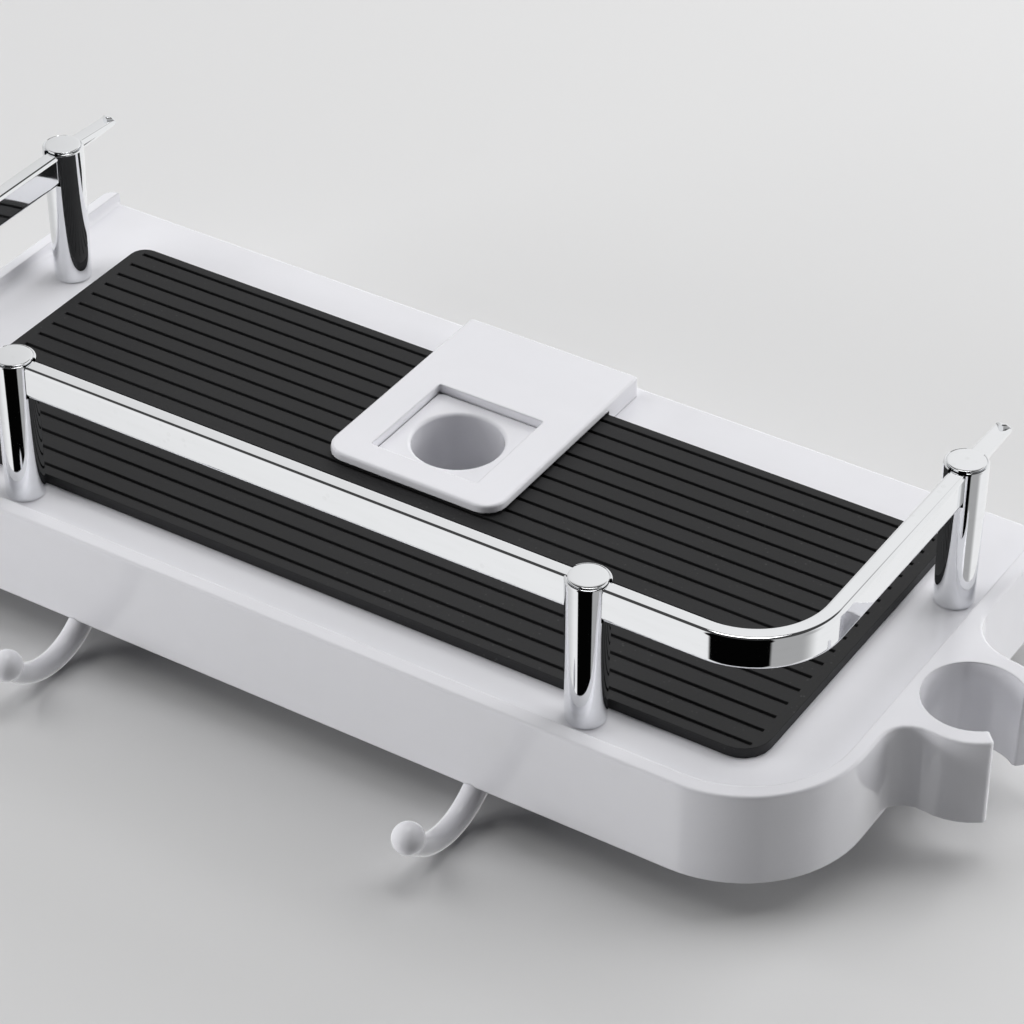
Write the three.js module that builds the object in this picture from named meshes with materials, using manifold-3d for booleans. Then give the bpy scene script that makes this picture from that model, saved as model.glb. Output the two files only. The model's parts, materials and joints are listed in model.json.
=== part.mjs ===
// Shower shelf that slips over a riser rail: a moulded white tray with a grooved mat, a chrome
// guard rail on four posts, two hooks, a handset clip on its right end and a collet for the rail.
// Millimetres. +Z is up, +X runs along the shelf to the handset clip, +Y points to the wall.
// The origin is on the axis of the riser rail, level with the lower edge of the tray.
import * as THREE from 'three';
import { mergeVertices } from 'three/addons/utils/BufferGeometryUtils.js';
import Module from 'manifold-3d';

const wasm = await Module();
wasm.setup();

// Clearance between pieces, and how far a cutting form runs past the face that it opens
const GAP = 0.3;
const PAST = 1;

// The longest step and turn between two points of an arc, and the sides of round forms
const ARC_STEP = 3.2;
const ARC_TURN = THREE.MathUtils.degToRad(18);
const SIDES_LARGE = 40;
const SIDES_MEDIUM = 28;
const SIDES_BOSS = 18;
const SIDES_SMALL = 12;

// Driving dimensions of the tray
const TRAY_LEFT_END = -165;
const TRAY_RIGHT_END = 160.5;
const TRAY_FRONT = -94.4;
const TRAY_REAR = 55.2;
const TRAY_HEIGHT = 28.6;
const FRONT_CORNER = 36;
const REAR_CORNER = 4;
const EDGE_ROUND = 0.8;
const REAR_EDGE_ROUND = 1.2;
const WALL = 2.4;
const DECK_TOP = 24.8;
const DECK_THICKNESS = 2.2;
const LIP_FRONT = 4.7;
const LIP_END = 4;
const LIP_FILLET = 1.6;
const RIB = 1.8;
const RIB_BOTTOM = 11;
const CROSS_RIB_X = [30, 75, 120];
const LONG_RIB_Y = [-34, 33];

// Driving dimensions of the handset clip
const CLIP_X = 173;
const CLIP_Y = -23.5;
const CLIP_OUTER = 19;
const CLIP_BORE_TOP = 14;
const CLIP_BORE_BOTTOM = 12.8;
const CLIP_MOUTH_HALF_ANGLE = 47;
const CLIP_TIP_ROUND = 1.6;
const CLIP_BOTTOM = 2.2;
const CLIP_BACKING = 1.2;
const CLIP_FRONT_FILLET = 8;
const CLIP_REAR_FILLET = 14.5;

// Driving dimensions of the mat
const MAT_HALF_LENGTH = 137.2;
const MAT_FRONT = -73.9;
const MAT_REAR = 34.6;
const MAT_THICKNESS = 3.2;
const MAT_FRONT_CORNER = 8.5;
const MAT_REAR_CORNER = 5;
const GROOVE_COUNT = 17;
const GROOVE_FIRST_Y = -70.1;
const GROOVE_PITCH = 6.325;
const GROOVE_WIDTH = 1.2;
const GROOVE_DEPTH = 0.9;
const GROOVE_END_MARGIN = 3.4;
const MAT_UNDER_COVER = [3, 2.5];

// Driving dimensions of the rail collet: cover, reducer bush, socket and lock ring
const COVER_HALF_WIDTH = 28.5;
const COVER_FRONT = -25.9;
const COVER_REAR = 51.2;
const COVER_TOP = 31.4;
const COVER_THICKNESS = 2.5;
const COVER_CORNER = 6.5;
const COVER_REAR_CORNER = 1;
const COVER_SKIRT_WALL = 2;
const COVER_PEG_RADIUS = 3;
const COVER_PEG_GAP = 0.1;
const COVER_PEGS = [[21.5, -14], [-21.5, -14], [20, 38], [-20, 38]];
const WINDOW = 35;
const WINDOW_CORNER = 0.8;
const RAIL_BORE = 26.5;
const BUSH_FLANGE_THICKNESS = 2.2;
const BUSH_FLANGE_TOP = 28.6;
const BUSH_FLANGE_CORNER = 1.5;
const BUSH_RADIUS = 15.5;
const BUSH_BOTTOM = -5;
const BUSH_LIP_ROUND = 1.1;
const BUSH_SLITS = 3;
const BUSH_SLIT_WIDTH = 2.4;
const BUSH_SLIT_TOP = 15;
const SOCKET_RADIUS = 18.8;
const SOCKET_BOTTOM = 8;
const COLLAR_RADIUS = 21;
const BEAD_RADIUS = 19.8;
const BEAD_MIDDLE = 10;
const BEAD_FLAT = 0.4;
const BEAD_FOOT = 1.2;
const RING_OUTER = 24;
const RING_TOP = 14;
const RING_BOTTOM = -7;
const RING_GRIPS = 18;
const RING_GRIP_DEPTH = 1;
const RING_POINTS_PER_GRIP = 4;
const RING_CAMS = 3;
const RING_POINTS_PER_CAM = 12;
const RING_CAM_RISE = 0.35;
const RING_CLEARANCE = 0.4;
const RING_TO_RIB = 1.5;

// Driving dimensions of the guard rail and its posts
const POST_FRONT = [90.9, -79.8];
const POST_REAR = [148.1, 15];
const POST_HEIGHT = 45.4;
const POST_FOOT_RADIUS = 5.6;
const POST_HEAD_RADIUS = 6.15;
const POST_CHAMFER = 0.6;
const POST_RIM_DROP = 0.35;
const CAP_RADIUS = 5.3;
const CAP_RECESS_GAP = 0.2;
const CAP_EDGE_ROUND = 0.3;
const RAIL_WIDTH = 5;
const RAIL_HEIGHT = 10.1;
const RAIL_BELOW_TOP = 1;
const RAIL_CORNER = 23.5;
const RAIL_BEVEL = 1.1;
const TAIL_HEIGHT = 4;
const TAIL_LENGTH = 22;
const TAIL_FRONT_ROUND = 1.4;
const TAIL_END_ROUND = 1.8;
const RAIL_PAST_POST = 1.5;
const POST_BOSS_RADIUS = 6.5;
const POST_BOSS_BOTTOM = 14;

// Driving dimensions of the hooks
const HOOK_X = 65;
const HOOK_ARC_Y = -105;
const HOOK_ARC_Z = 13.6;
const HOOK_ARC_RADIUS = 21;
const HOOK_RADIUS = 3.7;
const HOOK_TIP_RADIUS = 2.9;
const HOOK_BALL_RADIUS = 4.5;
const HOOK_TIP_ANGLE = THREE.MathUtils.degToRad(209);
const HOOK_BOSS_RADIUS = 6.5;
const HOOK_BOSS_BOTTOM = 12;
const HOOK_PEG_TOP = 20.7;
const HOOK_PEG_OVERLAP = 0.4;
const HOOK_STEPS = 16;
const HOOK_SIDES = 12;

// Driving dimensions of the screws: shank radius, head radius, head height, shank length
const POST_SCREW = { shank: 1.6, head: 3.4, rise: 2.2, length: 22 };
const COVER_SCREW = { shank: 1.2, head: 2.7, rise: 1.8, length: 6.4 };
const HOOK_SCREW = { shank: 1.2, head: 2.6, rise: 1.8, length: 7 };

// Sizes that follow from the driving dimensions
const DECK_BOTTOM = DECK_TOP - DECK_THICKNESS;
const POST_TOP = DECK_TOP + POST_HEIGHT;
const RAIL_TOP = POST_TOP - RAIL_BELOW_TOP;
const RAIL_BOTTOM = RAIL_TOP - RAIL_HEIGHT;
const BUSH_FLANGE_BOTTOM = BUSH_FLANGE_TOP - BUSH_FLANGE_THICKNESS;
const COVER_BOTTOM = COVER_TOP - COVER_THICKNESS;
const CAP_SEAT = RAIL_TOP + GAP;
const HOOK_PEG_Y = HOOK_ARC_Y + HOOK_ARC_RADIUS;
const HOOK_SCREW_SEAT = HOOK_PEG_Y + HOOK_BOSS_RADIUS;
const HOOK_SCREW_Z = (HOOK_BOSS_BOTTOM + HOOK_PEG_TOP) / 2;

// Materials
function finish(color, roughness, metalness) {
  return new THREE.MeshStandardMaterial({ color, roughness, metalness });
}

const whitePlastic = () => finish(0xe6e6ea, 0.28, 0);
const blackRubber = () => finish(0x242426, 0.75, 0);
const chrome = () => finish(0xd9dbde, 0.08, 1);
const screwSteel = () => finish(0xa9abae, 0.35, 1);

// Solids: a three.js geometry becomes a manifold for cutting and joining, and a mesh again at the end
function solid(geometry) {
  const bare = geometry.clone();
  bare.deleteAttribute('normal');
  bare.deleteAttribute('uv');
  const merged = mergeVertices(bare, 1e-4);
  return new wasm.Manifold(new wasm.Mesh({
    numProp: 3,
    vertProperties: new Float32Array(merged.attributes.position.array),
    triVerts: new Uint32Array(merged.index.array),
  }));
}

function namedMesh(name, body, material) {
  const { vertProperties, triVerts } = body.getMesh();
  const geometry = new THREE.BufferGeometry();
  geometry.setAttribute('position', new THREE.BufferAttribute(vertProperties, 3));
  geometry.setIndex(new THREE.BufferAttribute(triVerts, 1));
  geometry.computeVertexNormals();
  const mesh = new THREE.Mesh(geometry, material);
  mesh.name = name;
  return mesh;
}

// Points along an arc, from one angle to another in degrees; a falling angle runs clockwise
function arc(x, y, radius, from, to) {
  const turn = THREE.MathUtils.degToRad(to - from);
  const needed = Math.max(Math.abs(turn) * radius / ARC_STEP, Math.abs(turn) / ARC_TURN);
  const steps = Math.max(2, Math.ceil(needed));
  return Array.from({ length: steps + 1 }, (_, i) => {
    const angle = THREE.MathUtils.degToRad(from) + turn * i / steps;
    return new THREE.Vector2(x + radius * Math.cos(angle), y + radius * Math.sin(angle));
  });
}

// A closed outline from arcs and corners joined by straight lines, without doubled points
function outline(...runs) {
  const points = runs.flat();
  const next = (i) => points[(i + 1) % points.length];
  return new THREE.Shape(points.filter((point, i) => point.distanceTo(next(i)) > 1e-3));
}

const corner = (x, y) => new THREE.Vector2(x, y);

const joined = (bodies) => bodies.reduce((whole, body) => whole.add(body));
const cut = (body, tools) => body.subtract(joined(tools));

// Basic forms
function boxBetween(x0, x1, y0, y1, z0, z1) {
  const box = new THREE.BoxGeometry(x1 - x0, y1 - y0, z1 - z0);
  box.translate((x0 + x1) / 2, (y0 + y1) / 2, (z0 + z1) / 2);
  return solid(box);
}

function cone(x, y, z0, z1, radiusBottom, radiusTop, sides = SIDES_LARGE) {
  const form = new THREE.CylinderGeometry(radiusTop, radiusBottom, z1 - z0, sides);
  form.rotateX(Math.PI / 2);
  form.translate(x, y, (z0 + z1) / 2);
  return solid(form);
}

const upright = (x, y, z0, z1, radius, sides) => cone(x, y, z0, z1, radius, radius, sides);

function turned(profile, sides = SIDES_LARGE) {
  const form = new THREE.LatheGeometry(profile.map(([r, z]) => new THREE.Vector2(r, z)), sides);
  form.rotateX(Math.PI / 2);
  return solid(form);
}

function prism(shape, z0, z1) {
  const form = new THREE.ExtrudeGeometry(shape, { depth: z1 - z0, bevelEnabled: false });
  form.translate(0, 0, z0);
  return solid(form);
}

// A prism whose two ends are rounded over, inside its own outline
function roundedPrism(shape, z0, z1, round, steps = 2) {
  const form = new THREE.ExtrudeGeometry(shape, {
    depth: z1 - z0 - 2 * round,
    bevelEnabled: true,
    bevelThickness: round,
    bevelSize: round,
    bevelOffset: -round,
    bevelSegments: steps,
  });
  form.translate(0, 0, z0 + round);
  return solid(form);
}

// A rectangle with one radius at its front pair of corners and one at its rear pair
function plate(x0, x1, y0, y1, frontRadius, rearRadius) {
  return outline(
    arc(x0 + frontRadius, y0 + frontRadius, frontRadius, 180, 270),
    arc(x1 - frontRadius, y0 + frontRadius, frontRadius, 270, 360),
    arc(x1 - rearRadius, y1 - rearRadius, rearRadius, 0, 90),
    arc(x0 + rearRadius, y1 - rearRadius, rearRadius, 90, 180),
  );
}

// One rounded corner of a clip prong; its centre lies at a distance and an angle from the clip's axis
function prongCorner(distance, angle, from, to) {
  const turn = THREE.MathUtils.degToRad(angle);
  const x = CLIP_X + distance * Math.cos(turn);
  const y = CLIP_Y + distance * Math.sin(turn);
  return arc(x, y, CLIP_TIP_ROUND, from, to);
}

// Plan of the tray: rounded front, and an end wall that sweeps through two fillets into the clip ring
function trayOutline() {
  const left = TRAY_LEFT_END;
  const end = TRAY_RIGHT_END;
  const reach = CLIP_X - end;
  const along = (fillet) => Math.sqrt((CLIP_OUTER + fillet) ** 2 - (reach - fillet) ** 2);
  const frontY = CLIP_Y - along(CLIP_FRONT_FILLET);
  const rearY = CLIP_Y + along(CLIP_REAR_FILLET);
  const frontX = end + CLIP_FRONT_FILLET;
  const rearX = end + CLIP_REAR_FILLET;
  const frontAngle = THREE.MathUtils.radToDeg(Math.atan2(frontY - CLIP_Y, frontX - CLIP_X));
  const rearAngle = THREE.MathUtils.radToDeg(Math.atan2(rearY - CLIP_Y, rearX - CLIP_X));
  const mouth = CLIP_MOUTH_HALF_ANGLE;
  const outerMid = CLIP_OUTER - CLIP_TIP_ROUND;
  const innerMid = CLIP_BORE_BOTTOM + CLIP_TIP_ROUND;
  const outerTip = mouth + THREE.MathUtils.radToDeg(Math.asin(CLIP_TIP_ROUND / outerMid));
  const innerTip = mouth + THREE.MathUtils.radToDeg(Math.asin(CLIP_TIP_ROUND / innerMid));
  return outline(
    arc(left + FRONT_CORNER, TRAY_FRONT + FRONT_CORNER, FRONT_CORNER, 180, 270),
    arc(end - FRONT_CORNER, TRAY_FRONT + FRONT_CORNER, FRONT_CORNER, 270, 360),
    arc(frontX, frontY, CLIP_FRONT_FILLET, 180, frontAngle + 180),
    arc(CLIP_X, CLIP_Y, CLIP_OUTER, frontAngle, -outerTip),
    prongCorner(outerMid, -outerTip, -outerTip, 90 - mouth),
    prongCorner(innerMid, -innerTip, 90 - mouth, 180 - innerTip),
    arc(CLIP_X, CLIP_Y, CLIP_BORE_BOTTOM, -innerTip, innerTip - 360),
    prongCorner(innerMid, innerTip, innerTip - 180, mouth - 90),
    prongCorner(outerMid, outerTip, mouth - 90, outerTip),
    arc(CLIP_X, CLIP_Y, CLIP_OUTER, outerTip, rearAngle),
    arc(rearX, rearY, CLIP_REAR_FILLET, rearAngle + 180, 180),
    arc(end - REAR_CORNER, TRAY_REAR - REAR_CORNER, REAR_CORNER, 0, 90),
    arc(left + REAR_CORNER, TRAY_REAR - REAR_CORNER, REAR_CORNER, 90, 180),
  );
}

// Centre line of a hook: a peg up into its boss, then an arc down, forward and up to the ball
class HookLine extends THREE.Curve {
  constructor(fromAngle, toAngle) {
    super();
    this.fromAngle = fromAngle;
    this.toAngle = toAngle;
  }

  getPoint(t, target = new THREE.Vector3()) {
    const angle = THREE.MathUtils.lerp(this.fromAngle, this.toAngle, t);
    const y = HOOK_ARC_Y + HOOK_ARC_RADIUS * Math.cos(angle);
    const z = HOOK_ARC_Z + HOOK_ARC_RADIUS * Math.sin(angle);
    return target.set(0, y, z);
  }
}

// A round bar along the hook's arc, tapering to its tip
function hookBar(rootRadius, tipRadius) {
  const section = new THREE.Shape();
  section.absarc(0, 0, 1, 0, 2 * Math.PI);
  const line = new HookLine(0, HOOK_TIP_ANGLE - 2 * Math.PI);
  const form = new THREE.ExtrudeGeometry(section, {
    steps: HOOK_STEPS,
    extrudePath: line,
    curveSegments: HOOK_SIDES / 2,
  });
  const position = form.attributes.position;
  const point = new THREE.Vector3();
  const centre = new THREE.Vector3();
  for (let i = 0; i < position.count; i += 1) {
    point.fromBufferAttribute(position, i);
    const angle = Math.atan2(point.z - HOOK_ARC_Z, point.y - HOOK_ARC_Y);
    const along = THREE.MathUtils.clamp(-angle / (2 * Math.PI - HOOK_TIP_ANGLE), 0, 1);
    line.getPoint(angle > Math.PI / 2 ? 1 : along, centre);
    point.sub(centre).multiplyScalar(THREE.MathUtils.lerp(rootRadius, tipRadius, along)).add(centre);
    position.setXYZ(i, point.x, point.y, point.z);
  }
  return solid(form);
}

// The sliver above a rounded rear edge of the deck, between the two end lips
function rearEdgeSliver() {
  const past = TRAY_REAR + PAST;
  const above = DECK_TOP + PAST;
  const y = TRAY_REAR - REAR_EDGE_ROUND;
  const z = DECK_TOP - REAR_EDGE_ROUND;
  const section = outline(
    [corner(past, z)],
    [corner(past, above), corner(y, above)],
    arc(y, z, REAR_EDGE_ROUND, 90, 0),
  );
  const from = TRAY_LEFT_END + LIP_END;
  const form = new THREE.ExtrudeGeometry(section, {
    depth: TRAY_RIGHT_END - LIP_END - from,
    bevelEnabled: false,
  });
  const along = new THREE.Vector3(1, 0, 0);
  const back = new THREE.Vector3(0, 1, 0);
  const up = new THREE.Vector3(0, 0, 1);
  form.applyMatrix4(new THREE.Matrix4().makeBasis(back, up, along));
  form.translate(from, 0, 0);
  return solid(form);
}

// Tray: outer shell, dished deck open to the rear, hollow underside, ribs, bosses, rail socket and clip
function makeTray() {
  const left = TRAY_LEFT_END;
  const end = TRAY_RIGHT_END;
  const shell = roundedPrism(trayOutline(), -EDGE_ROUND, TRAY_HEIGHT, EDGE_ROUND);
  const belowEdge = boxBetween(-2 * end, 2 * end, -2 * end, 2 * end, -2 * EDGE_ROUND, 0);
  const belowClip = boxBetween(end, 2 * end, -end, end, -PAST, CLIP_BOTTOM);
  const clipTaper = cone(CLIP_X, CLIP_Y, 0, TRAY_HEIGHT, CLIP_BORE_BOTTOM, CLIP_BORE_TOP);
  const dishPlan = plate(left + LIP_END, end - LIP_END, TRAY_FRONT + LIP_FRONT, TRAY_REAR + 3 * LIP_FILLET,
    FRONT_CORNER - LIP_FRONT, 2 * LIP_FILLET);
  const dish = roundedPrism(dishPlan, DECK_TOP, TRAY_HEIGHT + 2 * LIP_FILLET, LIP_FILLET, 3);
  const hollowPlan = plate(left + WALL, end - WALL, TRAY_FRONT + WALL, TRAY_REAR - WALL,
    FRONT_CORNER - WALL, REAR_CORNER - WALL);
  const clipBacking = upright(CLIP_X, CLIP_Y, -PAST, DECK_TOP, CLIP_OUTER - CLIP_BACKING);
  const hollow = prism(hollowPlan, -PAST, DECK_BOTTOM).subtract(clipBacking);

  const half = RIB / 2;
  const inDeck = DECK_TOP - PAST;
  const ribs = [];
  for (const x of CROSS_RIB_X.flatMap((reach) => [-reach, reach])) {
    ribs.push(boxBetween(x - half, x + half, TRAY_FRONT + PAST, TRAY_REAR - PAST, RIB_BOTTOM, inDeck));
  }
  for (const y of LONG_RIB_Y) {
    ribs.push(boxBetween(left + PAST, end - PAST, y - half, y + half, RIB_BOTTOM, inDeck));
  }
  const overRing = RING_TOP + RING_TO_RIB;
  ribs.push(boxBetween(-CROSS_RIB_X[0], CROSS_RIB_X[0], -half, half, overRing, inDeck));
  ribs.push(boxBetween(-half, half, LONG_RIB_Y[0], LONG_RIB_Y[1], overRing, inDeck));

  const bosses = [];
  const drillings = [];
  for (const side of [-1, 1]) {
    for (const [x, y] of [POST_FRONT, POST_REAR]) {
      bosses.push(upright(side * x, y, POST_BOSS_BOTTOM, inDeck, POST_BOSS_RADIUS, SIDES_BOSS));
      drillings.push(upright(side * x, y, 0, DECK_TOP + PAST, POST_SCREW.shank + GAP, SIDES_SMALL));
    }
    const hookX = side * HOOK_X;
    bosses.push(upright(hookX, HOOK_PEG_Y, HOOK_BOSS_BOTTOM, inDeck, HOOK_BOSS_RADIUS, SIDES_BOSS));
    const web = boxBetween(-RIB, RIB, TRAY_FRONT + PAST, HOOK_PEG_Y, HOOK_BOSS_BOTTOM, inDeck);
    bosses.push(web.translate([hookX, 0, 0]));
    drillings.push(upright(hookX, HOOK_PEG_Y, 0, HOOK_PEG_TOP + GAP, HOOK_RADIUS + GAP, SIDES_BOSS));
    const notch = hookBar(HOOK_RADIUS + GAP, HOOK_RADIUS + GAP);
    drillings.push(notch.translate([hookX, 0, 0]));
    drillings.push(hookScrewHole(hookX));
  }
  for (const [x, y] of COVER_PEGS) {
    drillings.push(upright(x, y, 0, DECK_TOP + PAST, COVER_SCREW.shank + GAP, SIDES_SMALL));
  }

  const socket = turned([
    [0, SOCKET_BOTTOM], [SOCKET_RADIUS, SOCKET_BOTTOM],
    [SOCKET_RADIUS, BEAD_MIDDLE - BEAD_FOOT], [BEAD_RADIUS, BEAD_MIDDLE - BEAD_FLAT],
    [BEAD_RADIUS, BEAD_MIDDLE + BEAD_FLAT], [SOCKET_RADIUS, BEAD_MIDDLE + BEAD_FOOT],
    [SOCKET_RADIUS, DECK_BOTTOM - DECK_THICKNESS], [COLLAR_RADIUS, DECK_BOTTOM],
    [COLLAR_RADIUS, BUSH_FLANGE_BOTTOM], [0, BUSH_FLANGE_BOTTOM],
  ]);
  const socketBore = upright(0, 0, -PAST, TRAY_HEIGHT, BUSH_RADIUS + GAP);

  const openShell = cut(shell, [belowEdge, belowClip, clipTaper, dish, hollow, rearEdgeSliver()]);
  return cut(joined([openShell, socket, ...ribs, ...bosses]), [socketBore, ...drillings]);
}

// The hole of a hook's locking screw, along Y from behind the boss into the peg
function hookScrewHole(x) {
  const radius = HOOK_SCREW.shank + GAP;
  const length = HOOK_SCREW.length + GAP + PAST;
  const form = new THREE.CylinderGeometry(radius, radius, length, SIDES_SMALL);
  form.translate(x, HOOK_SCREW_SEAT + PAST - length / 2, HOOK_SCREW_Z);
  return solid(form);
}

// Mat: a rubber sheet with long grooves, notched behind for the collet
function makeMat() {
  const end = MAT_HALF_LENGTH;
  const sheet = plate(-end, end, MAT_FRONT, MAT_REAR, MAT_FRONT_CORNER, MAT_REAR_CORNER);
  const top = DECK_TOP + MAT_THICKNESS;
  const reach = end - GROOVE_END_MARGIN;
  const grooves = [];
  for (let i = 0; i < GROOVE_COUNT; i += 1) {
    const front = GROOVE_FIRST_Y + i * GROOVE_PITCH - GROOVE_WIDTH / 2;
    grooves.push(boxBetween(-reach, reach, front, front + GROOVE_WIDTH, top - GROOVE_DEPTH, top + PAST));
  }
  const [underSide, underFront] = MAT_UNDER_COVER;
  const half = COVER_HALF_WIDTH - underSide;
  const notchFront = COVER_FRONT + underFront;
  const notch = boxBetween(-half, half, notchFront, MAT_REAR + PAST, DECK_TOP - PAST, top + PAST);
  return cut(prism(sheet, DECK_TOP, top), [notch, ...grooves]);
}

// Cover: the plate over the collet, with a square window, four screw pegs and a skirt behind the mat
function makeCover() {
  const side = COVER_HALF_WIDTH;
  const plan = plate(-side, side, COVER_FRONT, COVER_REAR, COVER_CORNER, COVER_REAR_CORNER);
  const pegBottom = DECK_TOP + COVER_PEG_GAP;
  const block = roundedPrism(plan, pegBottom - EDGE_ROUND, COVER_TOP, EDGE_ROUND);
  const wide = 2 * side;
  const inside = side - COVER_SKIRT_WALL;
  const skirtFront = MAT_REAR + GAP;
  const skirtBack = COVER_REAR - COVER_SKIRT_WALL;
  const belowBlock = boxBetween(-wide, wide, -wide, wide, DECK_TOP - PAST, pegBottom);
  const overMat = boxBetween(-wide, wide, -wide, skirtFront, DECK_TOP - PAST, COVER_BOTTOM);
  const inSkirt = boxBetween(-inside, inside, -side, skirtBack, DECK_TOP - PAST, COVER_BOTTOM);
  const half = WINDOW / 2;
  const opening = plate(-half, half, -half, half, WINDOW_CORNER, WINDOW_CORNER);
  const pegTop = COVER_BOTTOM + PAST;
  const holeTop = DECK_BOTTOM + COVER_SCREW.length + GAP;
  const pegs = COVER_PEGS.map(([x, y]) => upright(x, y, pegBottom, pegTop, COVER_PEG_RADIUS, SIDES_BOSS));
  const holeRadius = COVER_SCREW.shank + GAP;
  const holes = COVER_PEGS.map(([x, y]) => upright(x, y, DECK_TOP, holeTop, holeRadius, SIDES_SMALL));
  const window = prism(opening, DECK_TOP, COVER_TOP + PAST);
  const sheet = cut(block, [belowBlock, overMat, inSkirt]);
  return cut(joined([sheet, ...pegs]), [window, ...holes]);
}

// Reducer bush: a square flange on a tube whose lower end is slit into collet fingers
function makeBush() {
  const half = WINDOW / 2 - GAP;
  const square = plate(-half, half, -half, half, BUSH_FLANGE_CORNER, BUSH_FLANGE_CORNER);
  const flange = prism(square, BUSH_FLANGE_BOTTOM, BUSH_FLANGE_TOP);
  const tube = upright(0, 0, BUSH_BOTTOM, BUSH_FLANGE_BOTTOM + PAST, BUSH_RADIUS);
  const bore = RAIL_BORE / 2;
  const lipFoot = BUSH_FLANGE_TOP - BUSH_LIP_ROUND;
  const lip = arc(bore + BUSH_LIP_ROUND, lipFoot, BUSH_LIP_ROUND, 180, 90).map(({ x, y }) => [x, y]);
  const boreAndLip = turned([
    [0, BUSH_BOTTOM - PAST], [bore, BUSH_BOTTOM - PAST], ...lip,
    [bore + BUSH_LIP_ROUND, BUSH_FLANGE_TOP + PAST], [0, BUSH_FLANGE_TOP + PAST],
  ]);
  const slitHalf = BUSH_SLIT_WIDTH / 2;
  const slits = [];
  for (let i = 0; i < BUSH_SLITS; i += 1) {
    const slit = boxBetween(0, BUSH_RADIUS + PAST, -slitHalf, slitHalf, BUSH_BOTTOM - PAST, BUSH_SLIT_TOP);
    slits.push(slit.rotate([0, 0, (i + 0.5) * 360 / BUSH_SLITS]));
  }
  return cut(flange.add(tube), [boreAndLip, ...slits]);
}

// A closed outline whose radius waves between two values a number of times around
function waveRing(inner, outer, waves, pointsPerWave) {
  const count = waves * pointsPerWave;
  return outline(Array.from({ length: count }, (_, i) => {
    const angle = 2 * Math.PI * i / count;
    const radius = inner + (outer - inner) * (1 + Math.cos(angle * waves)) / 2;
    return corner(radius * Math.cos(angle), radius * Math.sin(angle));
  }));
}

// Lock ring: snaps over the socket bead; its lower bore has three shallow cams for the collet fingers
function makeLockRing() {
  const grips = waveRing(RING_OUTER - RING_GRIP_DEPTH, RING_OUTER, RING_GRIPS, RING_POINTS_PER_GRIP);
  const camFoot = BUSH_RADIUS + GAP;
  const cams = waveRing(camFoot, camFoot + RING_CAM_RISE, RING_CAMS, RING_POINTS_PER_CAM);
  const socket = SOCKET_RADIUS + RING_CLEARANCE;
  const bead = BEAD_RADIUS + RING_CLEARANCE;
  const seat = SOCKET_BOTTOM - RING_CLEARANCE;
  const flat = BEAD_FLAT + RING_CLEARANCE / 2;
  const foot = BEAD_FOOT + RING_CLEARANCE;
  const snapBore = turned([
    [0, seat], [socket, seat],
    [socket, BEAD_MIDDLE - foot], [bead, BEAD_MIDDLE - flat],
    [bead, BEAD_MIDDLE + flat], [socket, BEAD_MIDDLE + foot],
    [socket, RING_TOP + PAST], [0, RING_TOP + PAST],
  ]);
  const camBore = prism(cams, RING_BOTTOM - PAST, SOCKET_BOTTOM);
  return cut(prism(grips, RING_BOTTOM, RING_TOP), [camBore, snapBore]);
}

// Guard rail: one flat bar bent round the front, its ends stepped down to tails behind the rear posts
function makeGuardRail() {
  const half = RAIL_WIDTH / 2;
  const [endX, endY] = POST_REAR;
  const rearY = endY + RAIL_PAST_POST;
  const bendX = endX - RAIL_CORNER;
  const bendY = POST_FRONT[1] + RAIL_CORNER;
  const bar = outline(
    [corner(-endX + half, rearY), corner(-endX - half, rearY)],
    arc(-bendX, bendY, RAIL_CORNER + half, 180, 270),
    arc(bendX, bendY, RAIL_CORNER + half, 270, 360),
    [corner(endX + half, rearY), corner(endX - half, rearY)],
    arc(bendX, bendY, RAIL_CORNER - half, 360, 270),
    arc(-bendX, bendY, RAIL_CORNER - half, 270, 180),
  );
  const body = roundedPrism(bar, RAIL_BOTTOM, RAIL_TOP, RAIL_BEVEL);
  const tails = [-1, 1].map((side) => {
    const x = side * endX;
    const end = endY + TAIL_LENGTH;
    const tail = plate(x - half, x + half, endY - half, end, TAIL_FRONT_ROUND, TAIL_END_ROUND);
    return roundedPrism(tail, RAIL_TOP - TAIL_HEIGHT, RAIL_TOP, RAIL_BEVEL);
  });
  return joined([body, ...tails]);
}

// Post: a slightly tapered turned bar, slotted from above for the rail and recessed for its cap
function makePost(isRear) {
  const rimTop = POST_TOP - POST_RIM_DROP;
  const chamferFoot = rimTop - POST_CHAMFER;
  const recess = CAP_RADIUS + CAP_RECESS_GAP;
  const shoulder = [(POST_HEAD_RADIUS * 3 + recess) / 4, chamferFoot + POST_CHAMFER / 2];
  const body = turned([
    [0, DECK_TOP], [POST_FOOT_RADIUS, DECK_TOP], [POST_HEAD_RADIUS, chamferFoot], shoulder,
    [recess + CAP_RECESS_GAP, rimTop], [recess, rimTop], [recess, CAP_SEAT], [0, CAP_SEAT],
  ], SIDES_MEDIUM);
  const half = RAIL_WIDTH / 2 + GAP;
  const across = POST_HEAD_RADIUS + PAST;
  const top = POST_TOP + PAST;
  const rearSlots = () => [
    boxBetween(-half, half, -across, RAIL_PAST_POST + GAP, RAIL_BOTTOM - GAP, top),
    boxBetween(-half, half, 0, across, RAIL_TOP - TAIL_HEIGHT - GAP, top),
  ];
  const frontSlots = () => [boxBetween(-across, across, -half, half, RAIL_BOTTOM - GAP, top)];
  const threadTop = POST_BOSS_BOTTOM + POST_SCREW.length + GAP;
  const thread = upright(0, 0, DECK_TOP - PAST, threadTop, POST_SCREW.shank + GAP, SIDES_SMALL);
  return cut(body, [...(isRear ? rearSlots() : frontSlots()), thread]);
}

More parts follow.
